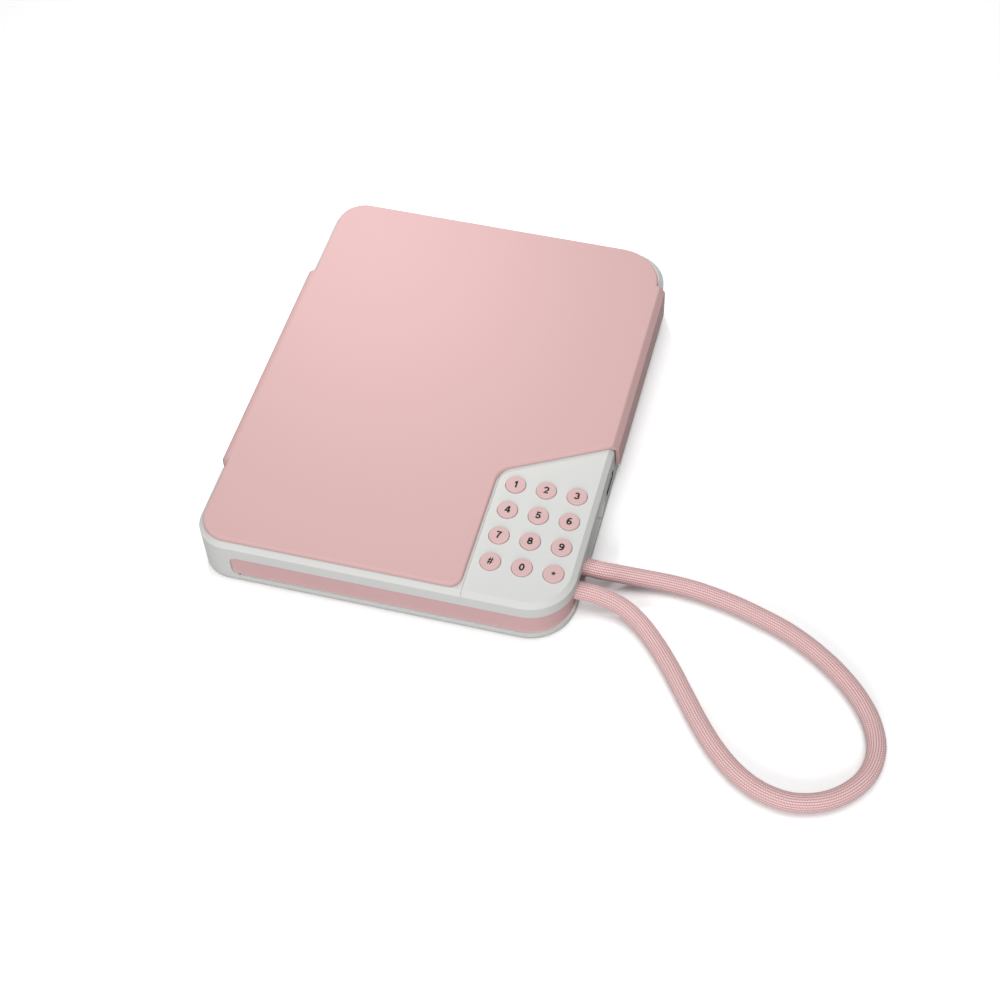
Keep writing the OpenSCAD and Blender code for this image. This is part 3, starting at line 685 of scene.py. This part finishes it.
@dataclass
class WristRope:
    """Round braided rope: a loop on the table whose two ends go into the case."""

    diameter: float = 7.0 * MM
    ribs: int = 22
    rib_depth: float = 0.14 * MM
    faces_per_rib: int = 4
    step: float = 1.2 * MM
    case_z: float = 8.55
    table_z: float = 3.6
    route_mm: list[tuple[float, float, float]] = field(default_factory=list)

    def __post_init__(self) -> None:
        """Sets the route: out of the case, round on the table and back in, in millimetres."""
        high = self.case_z
        low = self.table_z
        self.route_mm = [
            (67.7, -62, high), (72, -62, high), (79, -61.8, 7.8), (86, -60.4, 6),
            (94, -59.2, 4.4), (104, -58.6, low), (115, -59.4, low), (127, -61.6, low),
            (139, -65, low), (151, -69.4, low), (162, -75.4, low), (172, -82.8, low),
            (180.4, -91.2, low), (186.6, -100.6, low), (189.6, -110.8, low),
            (188.2, -121, low), (182.6, -129.4, low), (174.4, -135.4, low),
            (164, -138.2, low), (153.6, -136.8, low), (144.4, -132.4, low),
            (135.8, -125.4, low), (128, -116.6, low), (120.4, -106.4, low),
            (112.4, -95.4, low), (104.6, -86, low), (97, -78.8, 4.2), (89.6, -74.6, 5.6),
            (82, -73.2, 7.4), (74, -73, high), (67.7, -73, high),
        ]

    def build(self) -> None:
        route = smooth_route([Vector(p) * MM for p in self.route_mm], self.step)
        bm = rolled_tube(
            route,
            self.diameter / 2,
            self.ribs * self.faces_per_rib,
            self.ribs,
            self.rib_depth,
        )
        rope = new_piece("braided_rope", bm, BRAID)
        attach(rope, CASE_BODY)
        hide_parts("wrist_rope")


Stroke = list[tuple[float, float]]


def bow(
    middle: tuple[float, float],
    radii: tuple[float, float],
    start: float,
    end: float,
    steps: int = 14,
) -> Stroke:
    """Draws a bow of an ellipse as a pen stroke.

    Args:
        middle: Middle of the ellipse.
        radii: Half its width and half its height.
        start: Angle of the first point, in degrees.
        end: Angle of the last point.
        steps: Number of pieces.

    Returns:
        The points of the stroke.
    """
    angles = [math.radians(start + (end - start) * i / steps) for i in range(steps + 1)]
    return [
        (middle[0] + radii[0] * math.cos(a), middle[1] + radii[1] * math.sin(a)) for a in angles
    ]


def turned(strokes: list[Stroke]) -> list[Stroke]:
    """Turns a sign upside down about its middle, as a 6 becomes a 9.

    Args:
        strokes: Pen strokes of the sign, one unit high.

    Returns:
        The strokes of the turned sign.
    """
    width = 0.7
    return [[(width - x, 1 - y) for x, y in stroke] for stroke in strokes]


def sign_strokes() -> dict[str, list[Stroke]]:
    """Gives the pen strokes of each key sign, for a sign that is one unit high.

    Returns:
        Key name to the strokes of its sign. A stroke that ends where it starts is a ring.
    """
    six = [
        bow((0.35, 0.315), (0.235, 0.225), 180, 540),
        bow((0.41, 0.46), (0.295, 0.45), 188, 62, 10),
    ]
    star_arm = 0.26
    star_arms = 5
    return {
        "key_1": [[(0.36, 0), (0.36, 1)], [(0.1, 0.7), (0.22, 0.76), (0.32, 0.88)]],
        "key_2": [
            bow((0.34, 0.66), (0.235, 0.245), 172, -28, 10) + [(0.17, 0.1), (0.63, 0.1)],
        ],
        "key_3": [
            bow((0.33, 0.7), (0.205, 0.205), 165, -78, 10),
            bow((0.33, 0.305), (0.245, 0.21), 78, -165, 10),
        ],
        "key_4": [[(0.49, 0), (0.49, 0.98)], [(0.43, 0.9), (0.1, 0.29), (0.68, 0.29)]],
        "key_5": [
            [(0.6, 0.9), (0.22, 0.9), (0.17, 0.5)]
            + bow((0.34, 0.33), (0.24, 0.235), 118, -162, 12),
        ],
        "key_6": six,
        "key_7": [[(0.07, 0.9), (0.6, 0.9), (0.44, 0.62), (0.34, 0.34), (0.3, 0)]],
        "key_8": [
            bow((0.35, 0.715), (0.195, 0.19), 0, 360),
            bow((0.35, 0.3), (0.24, 0.21), 0, 360),
        ],
        "key_9": turned(six),
        "key_hash": [
            [(0.16, 0.02), (0.32, 0.98)], [(0.42, 0.02), (0.58, 0.98)],
            [(0.03, 0.34), (0.67, 0.34)], [(0.07, 0.66), (0.71, 0.66)],
        ],
        "key_0": [bow((0.35, 0.5), (0.225, 0.405), 0, 360, 20)],
        "key_star": [
            [
                (0.35, 0.5),
                (0.35 + star_arm * math.sin(turn), 0.5 + star_arm * math.cos(turn)),
            ]
            for turn in (math.tau * i / star_arms for i in range(star_arms))
        ],
    }


def inked(stroke: Stroke, pen: float, ink: float) -> bmesh.types.BMesh:
    """Draws one stroke with a broad pen, as a thin closed layer of ink.

    Args:
        stroke: Points of the stroke; the first is the last again where it is a ring.
        pen: Width of the pen.
        ink: Thickness of the layer.

    Returns:
        A bmesh with its lower side at Z 0.
    """
    points = [Vector((x, y, 0)) for x, y in stroke]
    ends_meet = 0.001 * pen
    weld = 0.0001 * pen
    longest_mitre = 1.6
    ring = (points[0] - points[-1]).length < ends_meet
    up = Vector((0, 0, 1))
    bm = bmesh.new()
    edge = None
    for i, point in enumerate(points):
        before = points[i - 1] if i else points[-2] if ring else None
        after = points[i + 1] if i < len(points) - 1 else points[1] if ring else None
        way_in = (point - before).normalized() if before else (after - point).normalized()
        way_out = (after - point).normalized() if after else way_in
        across = (way_in + way_out).normalized().cross(up)
        mitre = min(1 / across.dot(way_in.cross(up)), longest_mitre)
        shift = across * (pen / 2 * mitre)
        if edge is None:
            ends = [bm.verts.new(point - shift), bm.verts.new(point + shift)]
            edge = bm.edges.new(ends)
            continue
        grown = bmesh.ops.extrude_edge_only(bm, edges=[edge])["geom"]
        edge = next(e for e in grown if isinstance(e, bmesh.types.BMEdge))
        new_ends = [v for v in grown if isinstance(v, bmesh.types.BMVert)]
        ends = sorted(new_ends, key=lambda v: (v.co - ends[0].co).length)
        ends[0].co = point - shift
        ends[1].co = point + shift
    bmesh.ops.remove_doubles(bm, verts=bm.verts[:], dist=weld)
    bmesh.ops.recalc_face_normals(bm, faces=bm.faces[:])
    grown = bmesh.ops.extrude_face_region(bm, geom=bm.faces[:], use_keep_orig=True)["geom"]
    lifted = [v for v in grown if isinstance(v, bmesh.types.BMVert)]
    bmesh.ops.translate(bm, verts=lifted, vec=(0, 0, ink))
    bmesh.ops.recalc_face_normals(bm, faces=bm.faces[:])
    return bm


@dataclass
class Keypad:
    """Twelve keys with their printed signs, and the mat and board under them."""

    sign_height: float = 3.15 * MM
    pen: float = 0.68 * MM
    fine_pen: float = 0.42 * MM
    ink: float = 0.03 * MM

    def build(self, nodes: dict[str, bpy.types.Object]) -> None:
        """Dresses the keys and prints a sign on each.

        Args:
            nodes: The frame's pieces by name.
        """
        signs = sign_strokes()
        dress(nodes, list(signs), KEY_PINK)
        dress(nodes, ["keypad_membrane"], SILICONE)
        dress(nodes, ["keypad_board"], BOARD)
        ink = PRINT_INK.material()
        for key, strokes in signs.items():
            self.print_sign(key, strokes, ink)

    def print_sign(self, key: str, strokes: list[Stroke], ink: bpy.types.Material) -> None:
        """Prints one sign on the middle of a key.

        Args:
            key: Name of the key's node and of its body.
            strokes: Pen strokes of the sign, one unit high.
            ink: Material of the print.
        """
        low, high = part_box(key)
        pen = self.fine_pen if key in ("key_hash", "key_star") else self.pen
        mesh = bpy.data.meshes.new(f"{key}_sign")
        whole = bmesh.new()
        for stroke in strokes:
            sized = [(x * self.sign_height, y * self.sign_height) for x, y in stroke]
            part = inked(sized, pen, self.ink)
            part.to_mesh(mesh)
            part.free()
            whole.from_mesh(mesh)
        xs = [v.co.x for v in whole.verts]
        ys = [v.co.y for v in whole.verts]
        middle = Vector(((min(xs) + max(xs)) / 2, (min(ys) + max(ys)) / 2, 0))
        spot = Vector(((low.x + high.x) / 2, (low.y + high.y) / 2, high.z))
        shift = Matrix.Translation(spot - middle)
        bmesh.ops.transform(whole, matrix=shift, verts=whole.verts[:])
        whole.to_mesh(mesh)
        whole.free()
        mesh.materials.append(ink)
        made = bpy.data.objects.new(f"{key}_sign", mesh)
        bpy.context.scene.collection.objects.link(made)
        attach(made, key)
        LOG.info("%s: sign printed", key)


def pill_ring(
    outer: tuple[float, float], inner: tuple[float, float], depth: float, edge: float
) -> bmesh.types.BMesh:
    """Makes a ring of stadium shape that lies across Y and Z and reaches along +X from 0.

    Args:
        outer: Half the outer width and half the outer height.
        inner: Half the opening's width and half its height.
        depth: Length along X.
        edge: Radius of the front's two edges.

    Returns:
        A closed bmesh.
    """
    steps = 16
    corner_angle = 1.0
    bm = bmesh.new()
    loops = []
    for half_y, half_z in (outer, inner):
        verts = []
        for side in (1, -1):
            for i in range(steps + 1):
                angle = math.pi * (i / steps - 0.5)
                y = side * (half_y - half_z + half_z * math.cos(angle))
                verts.append(bm.verts.new((0, y, side * half_z * math.sin(angle))))
        edges = [bm.edges.new((a, b)) for a, b in zip(verts, verts[1:] + verts[:1])]
        loops.append(edges)
    bmesh.ops.bridge_loops(bm, edges=loops[0] + loops[1])
    grown = bmesh.ops.extrude_face_region(bm, geom=bm.faces[:], use_keep_orig=True)["geom"]
    front = [v for v in grown if isinstance(v, bmesh.types.BMVert)]
    bmesh.ops.translate(bm, verts=front, vec=(depth, 0, 0))
    bmesh.ops.recalc_face_normals(bm, faces=bm.faces[:])
    rims = [
        e
        for e in bm.edges
        if all(v.co.x > depth / 2 for v in e.verts) and e.calc_face_angle(0) > corner_angle
    ]
    bmesh.ops.bevel(
        bm, geom=rims, offset=edge, segments=3, profile=0.5, affect="EDGES", material=-1
    )
    return bm


@dataclass
class Case:
    """White case with its channel, port, feet and screws."""

    shell_wall: float = 0.3 * MM
    bezel_step: float = 0.02 * MM
    rim_step: float = 0.36 * MM
    edge_radius: float = 0.08 * MM

    def build(self, nodes: dict[str, bpy.types.Object]) -> None:
        """Dresses the pieces of the case.

        Args:
            nodes: The frame's pieces by name.
        """
        dress(nodes, ["lower_shell", "upper_frame"], CASE_WHITE)
        dress(nodes, ["keypad_deck"], DECK_WHITE)
        dress(nodes, ["accent_band"], BAND_PINK)
        dress(nodes, ["charge_port"], NICKEL)
        dress(nodes, ["rubber_feet"], FOOT_RUBBER)
        dress(nodes, ["case_screws"], DRAWN_STEEL)
        dress(nodes, ["rope_anchor", "speaker"], DARK_NYLON)
        dress(nodes, ["main_board"], BOARD)
        dress(nodes, ["battery"], POUCH)
        self.port_mouth()

    def port_mouth(self) -> None:
        """Makes the port's black bezel, flush with the wall, and the shell's rim behind it."""
        low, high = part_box("port_seal")
        shell_low, shell_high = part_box("charge_port")
        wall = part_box("lower_shell")[1].x
        middle = (low + high) / 2
        seal = (high - low) / 2
        shell = (shell_high - shell_low) / 2
        bezel = pill_ring(
            (seal.y, seal.z), (shell.y, shell.z), wall - self.bezel_step - low.x, self.edge_radius
        )
        place = Matrix.Translation((low.x, middle.y, middle.z))
        bmesh.ops.transform(bezel, matrix=place, verts=bezel.verts[:])
        made = new_piece("port_bezel", bezel, BEZEL_RUBBER, smooth=False)
        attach(made, CASE_BODY)
        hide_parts("port_seal")
        rim = pill_ring(
            (shell.y, shell.z),
            (shell.y - self.shell_wall, shell.z - self.shell_wall),
            wall - self.rim_step - shell_high.x,
            self.edge_radius,
        )
        place = Matrix.Translation((shell_high.x, middle.y, middle.z))
        bmesh.ops.transform(rim, matrix=place, verts=rim.verts[:])
        made = new_piece("port_rim", rim, NICKEL, smooth=False)
        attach(made, CASE_BODY)
        LOG.info("port_bezel and port_rim: %.1f mm wide", 2 * seal.y / MM)


@dataclass
class Lid:
    """Pink lid with its inner panel, strike and hinge pin."""

    def build(self, nodes: dict[str, bpy.types.Object]) -> None:
        """Dresses the pieces of the lid and the hinge.

        Args:
            nodes: The frame's pieces by name.
        """
        dress(nodes, ["lid_cover"], LID_PINK)
        dress(nodes, ["lid_liner"], LINER_WHITE)
        dress(nodes, ["lid_strike", "hinge_pin"], DRAWN_STEEL)


@dataclass
class Lock:
    """Solenoid, bolt and the coiled spring that pushes the bolt home."""

    turns: int = 5
    wire: float = 0.35 * MM
    wire_sides: int = 8
    steps_per_turn: int = 24

    def build(self, nodes: dict[str, bpy.types.Object]) -> None:
        """Dresses the lock and winds its spring.

        Args:
            nodes: The frame's pieces by name.
        """
        dress(nodes, ["lock_solenoid"], LACQUER)
        dress(nodes, ["latch_bolt"], DRAWN_STEEL)
        low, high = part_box("latch_spring")
        middle = (low + high) / 2
        radius = (high.z - low.z) / 2 - self.wire
        reach = high.x - low.x - 2 * self.wire
        count = self.turns * self.steps_per_turn
        route = [
            Vector((
                low.x + self.wire + reach * i / count,
                middle.y + radius * math.cos(math.tau * i / self.steps_per_turn),
                middle.z + radius * math.sin(math.tau * i / self.steps_per_turn),
            ))
            for i in range(count + 1)
        ]
        coil = rolled_tube(route, self.wire / 2, self.wire_sides)
        spring = new_piece("bolt_spring", coil, DRAWN_STEEL)
        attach(spring, CASE_BODY)
        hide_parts("latch_spring")
        LOG.info("bolt_spring: %d turns", self.turns)


@dataclass
class Notebook:
    """Paper block and card cover of the notebook in its well."""

    def build(self, nodes: dict[str, bpy.types.Object]) -> None:
        """Dresses the notebook.

        Args:
            nodes: The frame's pieces by name.
        """
        dress(nodes, ["notebook_cover"], CARD)
        dress(nodes, ["notebook_pages"], PAPER)


@dataclass
class PhotoCamera:
    """Camera of the photograph, fitted to the case's straight edges."""

    place_mm: tuple[float, float, float] = (159.8, -435.3, 558.2)
    azimuth_deg: float = 13.689
    elevation_deg: float = 52.956
    lens_mm: float = 64.14
    sensor_mm: float = 36.0
    shift_x: float = -0.0766
    nearest: float = 0.01
    farthest: float = 20.0

    def build(self) -> None:
        """Makes the camera and sets it as the scene's."""
        data = bpy.data.cameras.new("photo camera")
        data.sensor_width = self.sensor_mm
        data.lens = self.lens_mm
        data.shift_x = self.shift_x
        data.clip_start = self.nearest
        data.clip_end = self.farthest
        camera = bpy.data.objects.new("photo camera", data)
        camera.location = Vector(self.place_mm) * MM
        camera.rotation_euler = (
            math.radians(90 - self.elevation_deg),
            0.0,
            math.radians(self.azimuth_deg),
        )
        bpy.context.scene.collection.objects.link(camera)
        bpy.context.scene.camera = camera


@dataclass(frozen=True)
class SoftLamp:
    """Square soft lamp that faces the object."""

    name: str
    place: tuple[float, float, float]
    size: float
    power: float
    aim: tuple[float, float, float] = (0.0, 0.0, 0.0)

    def light(self) -> bpy.types.Light:
        """Makes the lamp's light.

        Returns:
            An area light.
        """
        data = bpy.data.lights.new(self.name, "AREA")
        data.shape = "SQUARE"
        data.size = self.size
        data.energy = self.power
        return data

    def build(self) -> None:
        """Makes the lamp and sets it in its place."""
        data = self.light()
        lamp = bpy.data.objects.new(data.name, data)
        place = Vector(self.place)
        lamp.location = place
        lamp.rotation_euler = (Vector(self.aim) - place).to_track_quat("-Z", "Y").to_euler()
        bpy.context.scene.collection.objects.link(lamp)


@dataclass(frozen=True)
class PoolLamp(SoftLamp):
    """Spot lamp that leaves a soft bright pool; its size is its radius."""

    cone_deg: float = 15.0
    softness: float = 1.0

    def light(self) -> bpy.types.Light:
        """Makes the lamp's light.

        Returns:
            A spot light.
        """
        data = bpy.data.lights.new(self.name, "SPOT")
        data.shadow_soft_size = self.size
        data.spot_size = math.radians(self.cone_deg)
        data.spot_blend = self.softness
        data.energy = self.power
        return data


LAMPS = [
    SoftLamp("top lamp", (0.1, 0.1, 1.4), 1.2, 11.8),
    SoftLamp("front lamp", (0.15, -1.35, 0.45), 0.8, 13.2),
    PoolLamp("pool lamp", (-0.44, 0.88, 0.86), 0.12, 51.0, (-0.055, 0.08, 0.022)),
]


def either(
    tree: bpy.types.NodeTree, first: bpy.types.NodeSocket, second: bpy.types.NodeSocket
) -> bpy.types.NodeSocket:
    """Joins two kinds of rays.

    Args:
        tree: Node tree of the material or world.
        first: 1 for rays of the first kind.
        second: 1 for rays of the second kind.

    Returns:
        A socket that is 1 for rays of either kind.
    """
    joined = add_node(tree, "ShaderNodeMath", {0: first, 1: second}, operation="MAXIMUM")
    return joined.outputs["Value"]


@dataclass
class Studio:
    """White table, soft lamps above and in front, and a pool of light on the lid's far corner."""

    floor_size: float = 8.0
    floor_bounce: str = "#8c8c8c"
    floor_lift: float = 0.33
    sky: float = 0.17
    white: str = "#ffffff"

    def build(self) -> None:
        """Makes the floor, the lamps and the world."""
        self.floor()
        for lamp in LAMPS:
            lamp.build()
        self.world()

    def floor(self) -> None:
        """Makes the table, which the camera sees as white where no shadow falls."""
        bm = bmesh.new()
        bmesh.ops.create_grid(bm, x_segments=1, y_segments=1, size=self.floor_size / 2)
        mesh = bpy.data.meshes.new("table")
        bm.to_mesh(mesh)
        bm.free()
        made = bpy.data.materials.new("white table")
        made.use_nodes = True
        tree = made.node_tree
        tree.nodes.clear()

        def matte(colour: tuple[float, ...]) -> bpy.types.NodeSocket:
            """Returns the shader of a matte surface in a linear colour."""
            return add_node(tree, "ShaderNodeBsdfDiffuse", {"Color": colour}).outputs["BSDF"]

        path = add_node(tree, "ShaderNodeLightPath")
        mirrored = either(
            tree, path.outputs["Is Glossy Ray"], path.outputs["Is Transmission Ray"]
        )
        bounce = matte(linear(self.floor_bounce))
        bright = matte(linear(self.white))
        extra = matte((*[self.floor_lift] * 3, 1.0))
        lifted = add_node(tree, "ShaderNodeAddShader", {0: bright, 1: extra})
        soft = add_node(tree, "ShaderNodeMixShader", {0: mirrored, 1: bounce, 2: bright})
        both = add_node(
            tree,
            "ShaderNodeMixShader",
            {
                0: path.outputs["Is Camera Ray"],
                1: soft.outputs["Shader"],
                2: lifted.outputs["Shader"],
            },
        )
        add_node(tree, "ShaderNodeOutputMaterial", {"Surface": both.outputs["Shader"]})
        mesh.materials.append(made)
        table = bpy.data.objects.new("table", mesh)
        bpy.context.scene.collection.objects.link(table)

    def world(self) -> None:
        """Sets a soft even sky, which the camera and reflections see as white."""
        world = bpy.data.worlds.new("studio")
        world.use_nodes = True
        bpy.context.scene.world = world
        tree = world.node_tree
        tree.nodes.clear()

        def glow(strength: float) -> bpy.types.NodeSocket:
            """Returns the shader of a white sky of some strength."""
            sky = add_node(
                tree,
                "ShaderNodeBackground",
                {"Color": linear(self.white), "Strength": strength},
            )
            return sky.outputs["Background"]

        path = add_node(tree, "ShaderNodeLightPath")
        mirrored = either(
            tree, path.outputs["Is Glossy Ray"], path.outputs["Is Transmission Ray"]
        )
        direct = either(tree, path.outputs["Is Camera Ray"], mirrored)
        both = add_node(
            tree, "ShaderNodeMixShader", {0: direct, 1: glow(self.sky), 2: glow(1.0)}
        )
        add_node(tree, "ShaderNodeOutputWorld", {"Surface": both.outputs["Shader"]})


def main() -> None:
    """Builds the scene round the frame, piece by piece."""
    logging.basicConfig(level=logging.INFO, format="%(name)s: %(message)s")
    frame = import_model()
    nodes = frame["nodes"]
    PhotoCamera().build()
    WristRope().build()
    Case().build(nodes)
    Keypad().build(nodes)
    Lid().build(nodes)
    Lock().build(nodes)
    Notebook().build(nodes)
    Studio().build()
    bpy.context.scene.view_settings.view_transform = "Standard"


if __name__ == "__main__":
    main()
